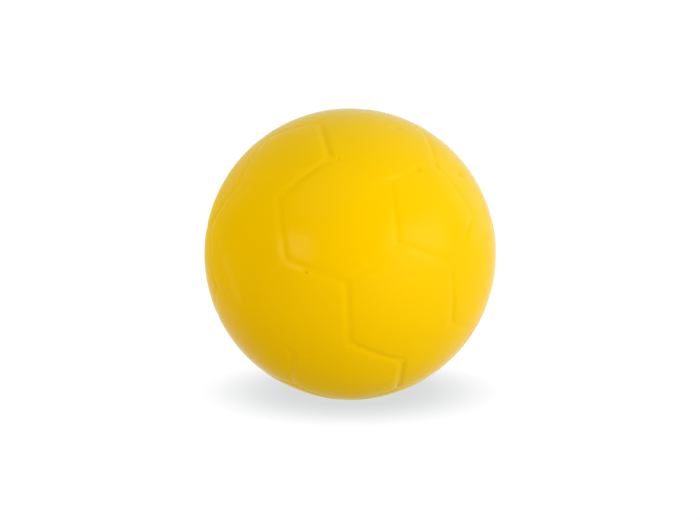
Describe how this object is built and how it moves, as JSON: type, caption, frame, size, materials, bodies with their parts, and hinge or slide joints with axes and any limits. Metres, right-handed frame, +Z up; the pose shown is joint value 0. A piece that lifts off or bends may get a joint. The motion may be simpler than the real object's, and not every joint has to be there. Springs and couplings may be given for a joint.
{
  "type": "foam handball",
  "caption": "Round moulded foam ball for throwing and catching, with a smooth dense skin over a soft cellular core and shallow moulded lines in a pentagon and hexagon layout.",
  "frame": {"origin": "centre of the ball", "axes": "+Z up as the ball lies at rest, +Y away from the viewer, +X to the viewer's right"},
  "size_m": [0.16, 0.16, 0.16],
  "materials": {
    "foam": "cellular polyurethane foam, matte",
    "skin": "smooth moulded polyurethane skin, satin yellow"
  },
  "bodies": {
    "root": {"foam_core": "foam", "outer_skin": "skin"}
  },
  "joints": []
}
